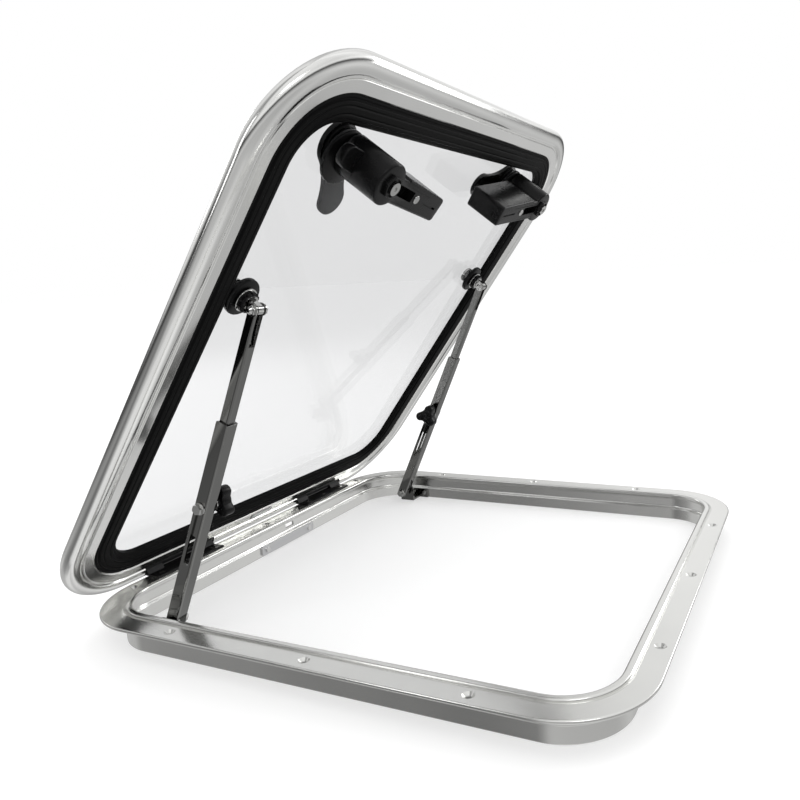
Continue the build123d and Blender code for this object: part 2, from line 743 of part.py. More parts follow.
with BuildPart() as foot_bracket_left:
    add(foot_bracket(-1))
foot_bracket_left.part.label = "foot_bracket_left"
export_step(foot_bracket_left.part, "parts/foot_bracket_left.step")

with BuildPart() as foot_bracket_right:
    add(foot_bracket(1))
foot_bracket_right.part.label = "foot_bracket_right"
export_step(foot_bracket_right.part, "parts/foot_bracket_right.step")

with BuildPart() as foot_bolt_left:
    add(foot_bolt(-1))
foot_bolt_left.part.label = "foot_bolt_left"
export_step(foot_bolt_left.part, "parts/foot_bolt_left.step")

with BuildPart() as foot_bolt_right:
    add(foot_bolt(1))
foot_bolt_right.part.label = "foot_bolt_right"
export_step(foot_bolt_right.part, "parts/foot_bolt_right.step")

# small screws that hold the two brackets to the inner wall
with BuildPart() as foot_screws:
    for side in (-1, 1):
        for sy in (-18, 0):
            flat = Plane(origin=(side * 233.4, FOOT_Y + sy, -20.5), x_dir=(0, 1, 0), z_dir=(-side, 0, 0))
            with BuildSketch(flat):
                Circle(2.9)
            extrude(amount=1.5)
            with BuildSketch(flat):
                Circle(1.5)
            extrude(amount=-2.6)
foot_screws.part.label = "foot_screws"
export_step(foot_screws.part, "parts/foot_screws.step")

# ===========================================================================
# handles
# ===========================================================================


def handle_base(side):
    """Round base plate on the inside of the pane, set off centre."""
    with BuildPart(mode=Mode.PRIVATE) as flange:
        middle = lid_at(side * HANDLE_X + BASE_SHIFT[0], HANDLE_Y + BASE_SHIFT[1], PANE_UNDER - 3.7)
        with BuildSketch(middle):
            Circle(BASE_R)
        extrude(amount=3.4)
        chamfer(flange.faces().sort_by(Axis((0, 0, 0), LID.z_dir))[0].edges(), 1.0)
        with BuildSketch(handle_plane(side, -1)):
            Circle(SPINDLE_R + 0.06)
        extrude(amount=6, mode=Mode.SUBTRACT)
    return flange.part


def handle_lever(side):
    """Hub, deep lever block, screw seat, pocket and the short locking tongue, one moulding."""
    with BuildPart(mode=Mode.PRIVATE) as lever:
        with BuildSketch(handle_plane(side, 4.2)):
            Circle(HUB_R)
        extrude(amount=LEVER_FACE - 4.2)
        with BuildSketch(handle_plane(side, 5.5)):
            with BuildLine():
                Polyline(
                    (0, -LEVER_ROOT_W / 2 - 1), (LEVER_REACH - 3, -LEVER_TIP_W / 2),
                    (LEVER_REACH, -LEVER_TIP_W / 2 + 3), (LEVER_REACH, LEVER_TIP_W / 2 - 3),
                    (LEVER_REACH - 3, LEVER_TIP_W / 2), (0, LEVER_ROOT_W / 2 + 1), close=True,
                )
            make_face()
        extrude(amount=LEVER_FACE - 5.5)
        fillet(lever.faces().sort_by(Axis((0, 0, 0), LID.z_dir))[0].edges(), 1.6)
        # raised six-sided screw seat
        with BuildSketch(handle_plane(side, LEVER_FACE - 0.5)):
            RegularPolygon(9.6, 6)
        extrude(amount=4.1)
        # pocket in the face, between the two screws
        with BuildSketch(handle_plane(side, 36.0)):
            with Locations((26.5, 0)):
                Rectangle(29.0, 9.0)
        extrude(amount=14, mode=Mode.SUBTRACT)
        # short groove at the tip
        with BuildSketch(handle_plane(side, LEVER_FACE - 1.3)):
            with Locations((73.0, 0)):
                Rectangle(26.0, 2.2)
        extrude(amount=4, mode=Mode.SUBTRACT)
        # locking tongue, opposite the lever
        with BuildSketch(handle_plane(side, 15.2)):
            with Locations((-24.0, 0)):
                SlotOverall(23.0, 18.0)
            with Locations((-14.0, 0)):
                Rectangle(20.0, 18.0)
        extrude(amount=6.6)
        # holes for the spindle and for the round-headed screw
        with BuildSketch(handle_plane(side, 0)):
            Circle(SPINDLE_R + 0.05)
        extrude(amount=42.0, mode=Mode.SUBTRACT)
        with BuildSketch(handle_plane(side, 36.0)):
            with Locations((HEAD_AT, 0)):
                Circle(2.05)
        extrude(amount=12.0, mode=Mode.SUBTRACT)
    return lever.part


def handle_spindle(side):
    """Steel spindle through the pane."""
    with BuildPart(mode=Mode.PRIVATE) as spindle:
        with BuildSketch(handle_plane(side, -17.0)):
            Circle(SPINDLE_R)
        extrude(amount=58.8)
    return spindle.part


def handle_ring(side):
    """Bright ring screw at the spindle's end, with a hexagon socket."""
    with BuildPart(mode=Mode.PRIVATE) as ring:
        with BuildSketch(handle_plane(side, 48.4)):
            Circle(5.4)
        extrude(amount=1.6)
        with BuildSketch(handle_plane(side, 48.9)):
            RegularPolygon(2.2, 6)
        extrude(amount=2, mode=Mode.SUBTRACT)
    return ring.part


def handle_pin(side):
    """Round-headed screw in the lever's face, beyond the pocket."""
    with BuildPart(mode=Mode.PRIVATE) as pin:
        with BuildSketch(handle_plane(side, 37.0)):
            with Locations((HEAD_AT, 0)):
                Circle(2.0)
        extrude(amount=LEVER_FACE - 37.0)
        with BuildSketch(handle_plane(side, LEVER_FACE)):
            with Locations((HEAD_AT, 0)):
                Circle(3.6)
        extrude(amount=1.3)
        fillet(pin.faces().sort_by(Axis((0, 0, 0), LID.z_dir))[0].edges(), 0.7)
    return pin.part


def handle_paddle(side):
    """Outside teardrop grip on the same spindle."""
    turn = math.radians(PADDLE_LEFT if side < 0 else PADDLE_RIGHT)
    flat = lid_at(side * HANDLE_X, HANDLE_Y, PANE_UNDER + PANE_THICK + 2.8)
    tip_x = -side * PADDLE_REACH * math.cos(turn)
    tip_y = PADDLE_REACH * math.sin(turn)
    with BuildPart(mode=Mode.PRIVATE) as paddle:
        with BuildSketch(flat) as outline:
            Circle(19.0)
            with Locations((tip_x, tip_y)):
                Circle(13.5)
            make_hull()
        extrude(amount=4.6)
        fillet(paddle.faces().sort_by(Axis((0, 0, 0), LID.z_dir))[-1].edges(), 1.4)
        with BuildSketch(handle_plane(side, -20.0)):
            Circle(SPINDLE_R + 0.05)
        extrude(amount=8, mode=Mode.SUBTRACT)
    return paddle.part


def handle_seal(side):
    """Rubber washer between the outside grip and the pane."""
    with BuildPart(mode=Mode.PRIVATE) as seal:
        with BuildSketch(handle_plane(side, -PANE_THICK - 0.3)):
            Circle(17.0)
            Circle(SPINDLE_R + 0.4, mode=Mode.SUBTRACT)
        extrude(amount=-2.2)
    return seal.part


with BuildPart() as handle_base_left:
    add(handle_base(-1))
handle_base_left.part.label = "handle_base_left"
export_step(handle_base_left.part, "parts/handle_base_left.step")

with BuildPart() as handle_base_right:
    add(handle_base(1))
handle_base_right.part.label = "handle_base_right"
export_step(handle_base_right.part, "parts/handle_base_right.step")

with BuildPart() as handle_lever_left:
    add(handle_lever(-1))
handle_lever_left.part.label = "handle_lever_left"
export_step(handle_lever_left.part, "parts/handle_lever_left.step")

with BuildPart() as handle_lever_right:
    add(handle_lever(1))
handle_lever_right.part.label = "handle_lever_right"
export_step(handle_lever_right.part, "parts/handle_lever_right.step")

with BuildPart() as handle_spindle_left:
    add(handle_spindle(-1))
handle_spindle_left.part.label = "handle_spindle_left"
export_step(handle_spindle_left.part, "parts/handle_spindle_left.step")

with BuildPart() as handle_spindle_right:
    add(handle_spindle(1))
handle_spindle_right.part.label = "handle_spindle_right"
export_step(handle_spindle_right.part, "parts/handle_spindle_right.step")

with BuildPart() as handle_ring_left:
    add(handle_ring(-1))
handle_ring_left.part.label = "handle_ring_left"
export_step(handle_ring_left.part, "parts/handle_ring_left.step")

with BuildPart() as handle_ring_right:
    add(handle_ring(1))
handle_ring_right.part.label = "handle_ring_right"
export_step(handle_ring_right.part, "parts/handle_ring_right.step")

with BuildPart() as handle_pin_left:
    add(handle_pin(-1))
handle_pin_left.part.label = "handle_pin_left"
export_step(handle_pin_left.part, "parts/handle_pin_left.step")

with BuildPart() as handle_pin_right:
    add(handle_pin(1))
handle_pin_right.part.label = "handle_pin_right"
export_step(handle_pin_right.part, "parts/handle_pin_right.step")

with BuildPart() as handle_paddle_left:
    add(handle_paddle(-1))
handle_paddle_left.part.label = "handle_paddle_left"
export_step(handle_paddle_left.part, "parts/handle_paddle_left.step")

with BuildPart() as handle_paddle_right:
    add(handle_paddle(1))
handle_paddle_right.part.label = "handle_paddle_right"
export_step(handle_paddle_right.part, "parts/handle_paddle_right.step")

with BuildPart() as handle_seal_left:
    add(handle_seal(-1))
handle_seal_left.part.label = "handle_seal_left"
export_step(handle_seal_left.part, "parts/handle_seal_left.step")

with BuildPart() as handle_seal_right:
    add(handle_seal(1))
handle_seal_right.part.label = "handle_seal_right"
export_step(handle_seal_right.part, "parts/handle_seal_right.step")
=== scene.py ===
import json
import math

import bmesh
import bpy
import numpy as np
from mathutils import Matrix, Vector


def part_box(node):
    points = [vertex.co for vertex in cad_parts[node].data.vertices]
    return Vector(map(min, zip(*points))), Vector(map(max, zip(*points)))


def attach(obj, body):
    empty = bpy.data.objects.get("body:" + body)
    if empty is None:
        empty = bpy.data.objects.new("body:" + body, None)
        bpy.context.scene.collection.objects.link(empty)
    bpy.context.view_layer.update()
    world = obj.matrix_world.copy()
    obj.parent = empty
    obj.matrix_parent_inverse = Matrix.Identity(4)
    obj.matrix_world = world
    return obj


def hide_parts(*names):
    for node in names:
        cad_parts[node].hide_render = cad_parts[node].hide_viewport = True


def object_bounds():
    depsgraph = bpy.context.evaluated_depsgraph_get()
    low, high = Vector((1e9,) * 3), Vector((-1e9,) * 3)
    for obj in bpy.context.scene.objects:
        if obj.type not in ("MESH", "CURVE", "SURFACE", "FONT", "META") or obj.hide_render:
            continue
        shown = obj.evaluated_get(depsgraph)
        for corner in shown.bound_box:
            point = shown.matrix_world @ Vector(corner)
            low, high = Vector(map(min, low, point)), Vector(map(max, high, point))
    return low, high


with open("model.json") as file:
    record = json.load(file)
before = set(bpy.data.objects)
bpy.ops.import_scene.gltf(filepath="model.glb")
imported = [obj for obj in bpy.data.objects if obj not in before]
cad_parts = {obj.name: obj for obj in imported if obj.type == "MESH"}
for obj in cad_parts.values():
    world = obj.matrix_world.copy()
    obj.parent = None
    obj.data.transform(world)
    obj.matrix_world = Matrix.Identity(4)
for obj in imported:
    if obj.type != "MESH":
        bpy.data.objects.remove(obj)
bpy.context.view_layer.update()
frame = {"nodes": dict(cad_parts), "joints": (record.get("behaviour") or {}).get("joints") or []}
nodes = frame["nodes"]
joints = {joint["name"]: joint for joint in frame["joints"]}
MM = 0.001

# ---------------------------------------------------------------------------
# Base frame. One aluminium extrusion bent to a rounded square and welded at the
# middle of the hinge side: flat flange, bead round the opening, hollow inner
# channel and a skirt that drops through the deck. Satin anodised, drilled after.
# ---------------------------------------------------------------------------
CORNER = 186.0 * MM          # centre of every rounded corner
FLANGE_TOP = 3.0 * MM


def rounded(corners, steps=4):
    """Closed outline with arcs in its corners. A row is x, y, radius. The arc leaves the first edge at
    radius * tan(turn / 2) from the corner and follows centre - radius * rotated normal to the second edge.
    A support point on each side of the arc keeps the flats flat when they are shaded."""
    rows = np.array(corners, float)
    point, radius = rows[:, :2], rows[:, 2]
    into = point - np.roll(point, 1, 0)
    out = np.roll(point, -1, 0) - point
    len_in = np.linalg.norm(into, axis=1)
    len_out = np.linalg.norm(out, axis=1)
    into /= len_in[:, None]
    out /= len_out[:, None]
    turn = np.arctan2(into[:, 0] * out[:, 1] - into[:, 1] * out[:, 0], (into * out).sum(1))
    half = np.tan(np.abs(turn) / 2) + 1e-9
    radius = np.minimum(radius, 0.46 * np.minimum(len_in, len_out) / half)
    reach = radius * half
    sign = np.sign(turn)
    normal = np.stack([-into[:, 1], into[:, 0]], 1)
    centre = point - into * reach[:, None] + normal * (sign * radius)[:, None]
    angle = turn[:, None] * np.linspace(0, 1, steps + 1)[None, :]
    cos, sin = np.cos(angle), np.sin(angle)
    spin = np.stack([normal[:, None, 0] * cos - normal[:, None, 1] * sin,
                     normal[:, None, 0] * sin + normal[:, None, 1] * cos], 2)
    arc = centre[:, None, :] - spin * (sign * radius)[:, None, None]
    gap_in = np.minimum(0.35 * radius, 0.3 * (len_in / 2 - reach))[:, None]
    gap_out = np.minimum(0.35 * radius, 0.3 * (len_out / 2 - reach))[:, None]
    before = arc[:, 0] - into * gap_in
    after = arc[:, -1] + out * gap_out
    return np.concatenate([before[:, None], arc, after[:, None]], 1).reshape(-1, 2)


def square_round(profile, arc_steps=22, side_steps=6):
    """Profile carried round the rounded square. With a profile point at distance x from the centre and height
    z, the surface is corner centre + (x - CORNER) * (cos a, sin a), z; a runs 90 degrees in each corner."""
    arc = np.radians(np.linspace(0, 90, arc_steps + 1))
    run = np.linspace(-1, 1, side_steps + 2)[1:-1] * CORNER
    one_a = np.concatenate([np.zeros(side_steps), arc])
    one_x = np.full(one_a.shape, CORNER)
    one_y = np.concatenate([run, np.full(arc.shape, CORNER)])
    quarter = np.radians(90) * np.arange(4)[:, None]
    a = (one_a[None] + quarter).ravel()
    cx = (one_x * np.cos(quarter) - one_y * np.sin(quarter)).ravel()
    cy = (one_x * np.sin(quarter) + one_y * np.cos(quarter)).ravel()
    rho = profile[:, 0] - CORNER
    grid = np.empty((len(a), len(profile), 3))
    grid[:, :, 0] = cx[:, None] + rho[None] * np.cos(a)[:, None]
    grid[:, :, 1] = cy[:, None] + rho[None] * np.sin(a)[:, None]
    grid[:, :, 2] = profile[None, :, 1]
    return grid


def skin(name, grid, wrap=True, caps=False):
    """Mesh over a grid of points (along, around). The second direction always closes on itself; the first
    closes when wrap is set, or gets flat caps. UV is length along and length around, in metres."""
    along, around = grid.shape[:2]
    index = np.arange(along * around).reshape(along, around)
    rows = along if wrap else along - 1
    i0 = index[:rows]
    i1 = np.roll(index, -1, 0)[:rows]
    quads = np.stack([i0, np.roll(i0, -1, 1), np.roll(i1, -1, 1), i1], 2).reshape(-1, 4)
    faces = quads.tolist()
    if caps:
        faces += [index[0].tolist(), index[-1][::-1].tolist()]
    mesh = bpy.data.meshes.new(name)
    mesh.from_pydata(grid.reshape(-1, 3).tolist(), [], faces)
    middle = grid.mean(1)
    step_u = np.linalg.norm(np.diff(np.concatenate([middle, middle[:1]]), axis=0), axis=1)
    u = np.concatenate([[0], np.cumsum(step_u)])
    ring = np.concatenate([grid[0], grid[0][:1]])
    v = np.concatenate([[0], np.cumsum(np.linalg.norm(np.diff(ring, axis=0), axis=1))])
    ru, rv = np.meshgrid(np.arange(rows), np.arange(around), indexing="ij")
    uv = np.stack([np.stack([u[ru], v[rv]], 2), np.stack([u[ru], v[rv + 1]], 2),
                   np.stack([u[ru + 1], v[rv + 1]], 2), np.stack([u[ru + 1], v[rv]], 2)], 2).reshape(-1, 2)
    layer = mesh.uv_layers.new(name="along")
    flat = np.zeros((len(mesh.loops), 2))
    flat[:len(uv)] = uv
    if caps:
        flat[len(uv):] = np.concatenate([grid[0], grid[-1][::-1]])[:, :2]
    layer.data.foreach_set("uv", flat.ravel())
    return finished(name, mesh)


def finished(name, mesh, sharp=34.0):
    """Object from a mesh: normals outwards, smooth but for edges sharper than the given angle."""
    work = bmesh.new()
    work.from_mesh(mesh)
    bmesh.ops.remove_doubles(work, verts=work.verts, dist=2e-6)
    loose = [edge for edge in work.edges if not edge.link_faces]
    bmesh.ops.delete(work, geom=loose, context="EDGES")
    bmesh.ops.recalc_face_normals(work, faces=work.faces)
    work.to_mesh(mesh)
    work.free()
    mesh.shade_smooth()
    mesh.set_sharp_from_angle(angle=math.radians(sharp))
    piece = bpy.data.objects.new(name, mesh)
    bpy.context.scene.collection.objects.link(piece)
    return piece


def carve(piece, tools, how="DIFFERENCE", sharp=34.0):
    """Boolean of a piece with a list of tools, kept in the mesh; the tools are thrown away."""
    for tool in tools:
        step = piece.modifiers.new("carve", "BOOLEAN")
        step.operation = how
        step.solver = "EXACT"
        step.object = tool
    bpy.context.view_layer.update()
    ready = piece.evaluated_get(bpy.context.evaluated_depsgraph_get())
    mesh = bpy.data.meshes.new_from_object(ready)
    piece.modifiers.clear()
    piece.data = mesh
    for tool in tools:
        bpy.data.objects.remove(tool)
    mesh.shade_smooth()
    mesh.set_sharp_from_angle(angle=math.radians(sharp))
    return piece


def turned(name, profile, origin, axis, across=(1, 0, 0), count=48):
    """Solid of revolution: a closed profile of radius and height carried round an axis through origin;
    the point is origin + r * (cos t * x + sin t * y) + h * axis. Points of radius 0 close the poles."""
    z = np.array(Vector(axis).normalized())
    x = np.array(across, float)
    x = x - z * x.dot(z)
    x /= np.linalg.norm(x)
    y = np.cross(z, x)
    t = np.linspace(0, 2 * np.pi, count, endpoint=False)
    rim = np.cos(t)[:, None] * x + np.sin(t)[:, None] * y
    rows = np.array(profile, float)
    grid = np.array(origin, float) + rows[None, :, :1] * rim[:, None, :] + rows[None, :, 1:] * z
    return skin(name, grid)


def material(name):
    """Empty node material with its shader, ready for the section that fills it."""
    made = bpy.data.materials.new(name)
    made.use_nodes = True
    tree = made.node_tree
    shader = tree.nodes["Principled BSDF"]
    return made, tree, shader


def wire(tree, kind, values=None, **links):
    """One node: values set its sockets or properties, links join other sockets to its inputs."""
    node = tree.nodes.new(kind)
    for key, value in (values or {}).items():
        if key in node.inputs:
            node.inputs[key].default_value = value
        else:
            setattr(node, key, value)
    for key, source in links.items():
        tree.links.new(source, node.inputs[key.replace("_", " ")])
    return node


def drawn_metal(name, colour, low, high, grain=(3.0, 900.0), depth=0.02, coordinate="uv"):
    """Metal with fine lines along the extrusion: stretched noise moves the roughness between two values, a
    slow noise clouds the colour by a few percent, and the same lines give a very shallow bump."""
    made, tree, shader = material(name)
    shader.inputs["Metallic"].default_value = 1.0
    place = wire(tree, "ShaderNodeTexCoord")
    source = place.outputs["UV"] if coordinate == "uv" else place.outputs["Object"]
    stretch = wire(tree, "ShaderNodeMapping", Vector=source)
    stretch.inputs["Scale"].default_value = (grain[0], grain[1], grain[1])
    lines = wire(tree, "ShaderNodeTexNoise", {"Scale": 1.0, "Detail": 5.0, "Roughness": 0.6},
                 Vector=stretch.outputs["Vector"])
    cloud = wire(tree, "ShaderNodeTexNoise", {"Scale": 14.0, "Detail": 3.0}, Vector=place.outputs["Object"])
    mixed = wire(tree, "ShaderNodeMath", {"operation": "MULTIPLY_ADD"})
    tree.links.new(lines.outputs["Fac"], mixed.inputs[0])
    mixed.inputs[1].default_value = 0.7
    tree.links.new(cloud.outputs["Fac"], mixed.inputs[2])
    rough = wire(tree, "ShaderNodeMapRange",
                 {"From Min": 0.4, "From Max": 1.2, "To Min": low, "To Max": high})
    tree.links.new(mixed.outputs[0], rough.inputs["Value"])
    tree.links.new(rough.outputs["Result"], shader.inputs["Roughness"])
    tint = wire(tree, "ShaderNodeValToRGB")
    tint.color_ramp.elements[0].position = 0.3
    tint.color_ramp.elements[1].position = 0.75
    tint.color_ramp.elements[0].color = [c * 0.93 for c in colour] + [1]
    tint.color_ramp.elements[1].color = list(colour) + [1]
    tree.links.new(cloud.outputs["Fac"], tint.inputs["Fac"])
    tree.links.new(tint.outputs["Color"], shader.inputs["Base Color"])
    bump = wire(tree, "ShaderNodeBump", {"Strength": depth, "Distance": 0.0002},
                Height=lines.outputs["Fac"])
    tree.links.new(bump.outputs["Normal"], shader.inputs["Normal"])
    return made


base_corners = [
    (260.0, 0.0, 1.1), (241.6, 0.0, 0.5), (241.6, -13.0, 0.5), (240.8, -13.7, 0.3), (240.8, -28.0, 0.7),
    (236.2, -28.0, 0.7), (236.2, -15.2, 0.6), (238.9, -12.6, 2.2), (238.9, -2.4, 2.4), (236.2, 0.7, 1.0),
    (232.4, 0.9, 0.7), (232.4, 5.2, 2.4), (238.8, 5.2, 2.3), (239.2, 2.4, 0.3), (240.3, 2.4, 0.3),
    (240.8, 3.0, 0.25), (260.0, 3.0, 1.3),
]
base_profile = rounded(np.array(base_corners) * MM)
base_piece = skin("base_extrusion", square_round(base_profile))
HOLE_ROWS = ([(s * 249.0, k * 140.0) for s in (-1, 1) for k in (-1, 0, 1)]
             + [(k * 140.0, -249.0) for k in (-1, 0, 1)] + [(k * 190.0, 249.0) for k in (-1, 0, 1)])
sinks = [
    turned("sink", [(0, -4.5 * MM), (2.6 * MM, -4.5 * MM), (2.6 * MM, -2.2 * MM), (4.8 * MM, 0.0),
                    (4.95 * MM, 0.9 * MM), (0, 0.9 * MM)],
           (x * MM, y * MM, FLANGE_TOP), (0, 0, 1), count=32)
    for x, y in HOLE_ROWS
]
window = skin("window", np.array([
    [(22.5, y, z) for y, z in rounded([(232.0, -9.3, 1.0), (245.0, -9.3, 1.0), (245.0, -4.3, 1.0),
                                       (232.0, -4.3, 1.0)])],
    [(37.5, y, z) for y, z in rounded([(232.0, -9.3, 1.0), (245.0, -9.3, 1.0), (245.0, -4.3, 1.0),
                                       (232.0, -4.3, 1.0)])]]) * MM, wrap=False, caps=True)
carve(base_piece, sinks + [window])
satin = drawn_metal("satin_anodised_aluminium", (0.81, 0.81, 0.79), 0.14, 0.24)
base_piece.data.materials.append(satin)
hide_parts("base_frame")
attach(base_piece, "base")

# ---------------------------------------------------------------------------
# Joint plate of the base frame with its two screws: flat satin plate inside the
# hinge side wall, across the weld.
# ---------------------------------------------------------------------------
plate_metal = drawn_metal("plate_aluminium", (0.74, 0.74, 0.75), 0.30, 0.42, grain=(60.0, 900.0),
                          coordinate="object")
screw_steel = drawn_metal("screw_steel", (0.72, 0.72, 0.71), 0.14, 0.24, grain=(500.0, 500.0),
                          coordinate="object")


def dress(node, finish):
    """Gives a carried-over CAD node its finish."""
    mesh = nodes[node].data
    mesh.materials.clear()
    mesh.materials.append(finish)


dress("frame_joint_plate", plate_metal)
dress("frame_joint_screws", screw_steel)
dress("foot_screws", screw_steel)
dress("hinge_screws", screw_steel)

# ---------------------------------------------------------------------------
# Lid rim. A wider aluminium extrusion, bent and welded like the base: ledge under
# the pane, flat band, groove, and a broad bull-nose that covers the base flange.
# Polished brighter than the base.
# ---------------------------------------------------------------------------
HINGE = np.array(joints["lid_hinge"]["pos_m"])
OPEN = math.radians(-joints["lid_hinge"]["range_deg"][0])
LID_UP = np.array([0.0, math.sin(OPEN), math.cos(OPEN)])
LID_BACK = np.array([0.0, math.cos(OPEN), -math.sin(OPEN)])


def opened(points):
    """Closed-lid coordinates turned open about the hinge axis: hinge + dy * LID_BACK + dz * LID_UP."""
    p = np.array(points, float)
    out = np.empty(p.shape)
    dy = p[..., 1] - HINGE[1]
    dz = p[..., 2] - HINGE[2]
    out[..., 0] = p[..., 0]
    out[..., 1] = HINGE[1] + dy * LID_BACK[1] + dz * LID_UP[1]
    out[..., 2] = HINGE[2] + dy * LID_BACK[2] + dz * LID_UP[2]
    return out


def bezier(a, b, c, d, count):
    """Cubic curve between a and d pulled by b and c, without its two ends."""
    t = np.linspace(0, 1, count + 2)[1:-1, None]
    a, b, c, d = (np.array(p, float) for p in (a, b, c, d))
    return (1 - t) ** 3 * a + 3 * (1 - t) ** 2 * t * b + 3 * (1 - t) * t * t * c + t ** 3 * d


rim_flats = rounded([
    (255.6, 22.5, 0.6), (254.0, 22.0, 0.4), (254.0, 13.5, 0.2), (228.0, 13.5, 0.2), (228.0, 11.3, 0.2),
    (246.6, 11.3, 0.2), (246.6, 6.6, 0.5), (248.0, 5.6, 0.7), (257.4, 5.3, 0.5), (258.1, 6.5, 0.25),
    (259.7, 6.5, 0.25), (260.5, 5.0, 0.3), (262.0, 4.3, 0.0),
])
rim_nose = np.concatenate([
    bezier((262.0, 4.3), (267.5, 2.9), (274.7, 4.4), (274.8, 10.6), 12),
    [(274.8, 10.6)],
    bezier((274.8, 10.6), (274.9, 16.4), (268.5, 21.2), (255.6, 22.5), 14),
])
rim_profile = np.concatenate([rim_flats, rim_nose]) * MM
rim_piece = skin("lid_rim", opened(square_round(rim_profile)))
pockets = []
for side in (-1, 1):
    x0, x1 = sorted((side * 73.0, side * 167.0))
    outline = rounded([(258.6, 0.0, 0.5), (272.2, 0.0, 0.5), (272.2, 14.5, 1.6), (258.6, 14.5, 1.6)])
    ends = np.array([[(x, y, z) for y, z in outline] for x in (x0, x1)]) * MM
    pockets.append(skin("pocket", opened(ends), wrap=False, caps=True))
carve(rim_piece, pockets)
bright = drawn_metal("polished_rim_aluminium", (0.86, 0.86, 0.845), 0.12, 0.20, grain=(2.0, 700.0),
                     depth=0.012)
rim_piece.data.materials.append(bright)
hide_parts("lid_frame")
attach(rim_piece, "lid")
dress("lid_joint_plate", plate_metal)

# ---------------------------------------------------------------------------
# Seal. Black ribbed rubber pressed over the ledge's edge, one piece all round;
# its low ribs meet the bead of the base frame when the lid is shut.
# ---------------------------------------------------------------------------
seal_profile = rounded([
    (224.0, 13.5, 0.3), (224.0, 9.4, 0.8), (226.2, 7.4, 1.0), (228.2, 7.3, 0.3), (229.2, 5.7, 0.6),
    (231.4, 5.5, 0.5), (232.2, 6.2, 0.3), (233.4, 5.5, 0.5), (237.2, 5.5, 0.5), (238.4, 6.2, 0.3),
    (239.6, 5.5, 0.5), (241.8, 5.8, 0.6), (242.5, 7.3, 0.3), (243.7, 7.3, 0.3), (244.5, 6.6, 0.5),
    (246.3, 7.0, 0.5), (246.3, 11.1, 0.2), (227.7, 11.1, 0.2), (227.7, 13.5, 0.2),
]) * MM
seal_piece = skin("rubber_seal", opened(square_round(seal_profile)))
rubber, tree, shader = material("seal_rubber")
place = wire(tree, "ShaderNodeTexCoord")
fine = wire(tree, "ShaderNodeTexNoise", {"Scale": 900.0, "Detail": 4.0}, Vector=place.outputs["Object"])
dust = wire(tree, "ShaderNodeTexNoise", {"Scale": 22.0, "Detail": 5.0}, Vector=place.outputs["Object"])
tone = wire(tree, "ShaderNodeValToRGB", Fac=dust.outputs["Fac"])
tone.color_ramp.elements[0].color = (0.002, 0.002, 0.002, 1)
tone.color_ramp.elements[1].color = (0.006, 0.006, 0.006, 1)
tree.links.new(tone.outputs["Color"], shader.inputs["Base Color"])
rough = wire(tree, "ShaderNodeMapRange", {"To Min": 0.42, "To Max": 0.62}, Value=dust.outputs["Fac"])
tree.links.new(rough.outputs["Result"], shader.inputs["Roughness"])
bump = wire(tree, "ShaderNodeBump", {"Strength": 0.12, "Distance": 0.0002}, Height=fine.outputs["Fac"])
tree.links.new(bump.outputs["Normal"], shader.inputs["Normal"])
shader.inputs["Specular IOR Level"].default_value = 0.06
seal_piece.data.materials.append(rubber)
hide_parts("lid_gasket")
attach(seal_piece, "lid")
dress("pane_sealant", rubber)

# ---------------------------------------------------------------------------
# Pane. Thick cast acrylic, clear with a faint grey smoke, bonded into the rim.
# Its index is set below acrylic's, which keeps the glare on it low.
# ---------------------------------------------------------------------------
acrylic, tree, shader = material("cast_acrylic")
shader.inputs["Transmission Weight"].default_value = 1.0
shader.inputs["IOR"].default_value = 1.22
place = wire(tree, "ShaderNodeTexCoord")
haze = wire(tree, "ShaderNodeTexNoise", {"Scale": 6.0, "Detail": 4.0}, Vector=place.outputs["Object"])
tone = wire(tree, "ShaderNodeValToRGB", Fac=haze.outputs["Fac"])
tone.color_ramp.elements[0].color = (0.735, 0.737, 0.742, 1)
tone.color_ramp.elements[1].color = (0.765, 0.767, 0.772, 1)
tree.links.new(tone.outputs["Color"], shader.inputs["Base Color"])
wipe = wire(tree, "ShaderNodeMapRange", {"To Min": 0.0, "To Max": 0.03}, Value=haze.outputs["Fac"])
tree.links.new(wipe.outputs["Result"], shader.inputs["Roughness"])
dress("lid_pane", acrylic)

# ---------------------------------------------------------------------------
# Hinges. Two black coated steel hinges at the back edge, each with leaves on
# the lid and the base and a stainless pin, held by small countersunk screws.
# ---------------------------------------------------------------------------


def moulded(name, dark, light, low, high, grain, depth, specular=0.5):
    """Black moulding or coat: a fine grain bump, a slow cloud in the colour between dark and light, and the
    same cloud in the roughness between low and high."""
    made, tree, shader = material(name)
    place = wire(tree, "ShaderNodeTexCoord")
    fine = wire(tree, "ShaderNodeTexNoise", {"Scale": grain, "Detail": 3.0}, Vector=place.outputs["Object"])
    slow = wire(tree, "ShaderNodeTexNoise", {"Scale": 35.0, "Detail": 4.0}, Vector=place.outputs["Object"])
    tone = wire(tree, "ShaderNodeValToRGB", Fac=slow.outputs["Fac"])
    tone.color_ramp.elements[0].color = (dark, dark, dark * 1.05, 1)
    tone.color_ramp.elements[1].color = (light, light, light * 1.05, 1)
    tree.links.new(tone.outputs["Color"], shader.inputs["Base Color"])
    rough = wire(tree, "ShaderNodeMapRange",
                 {"From Min": 0.3, "From Max": 0.7, "To Min": low, "To Max": high}, Value=slow.outputs["Fac"])
    tree.links.new(rough.outputs["Result"], shader.inputs["Roughness"])
    bump = wire(tree, "ShaderNodeBump", {"Strength": depth, "Distance": 0.0002}, Height=fine.outputs["Fac"])
    tree.links.new(bump.outputs["Normal"], shader.inputs["Normal"])
    shader.inputs["Specular IOR Level"].default_value = specular
    return made


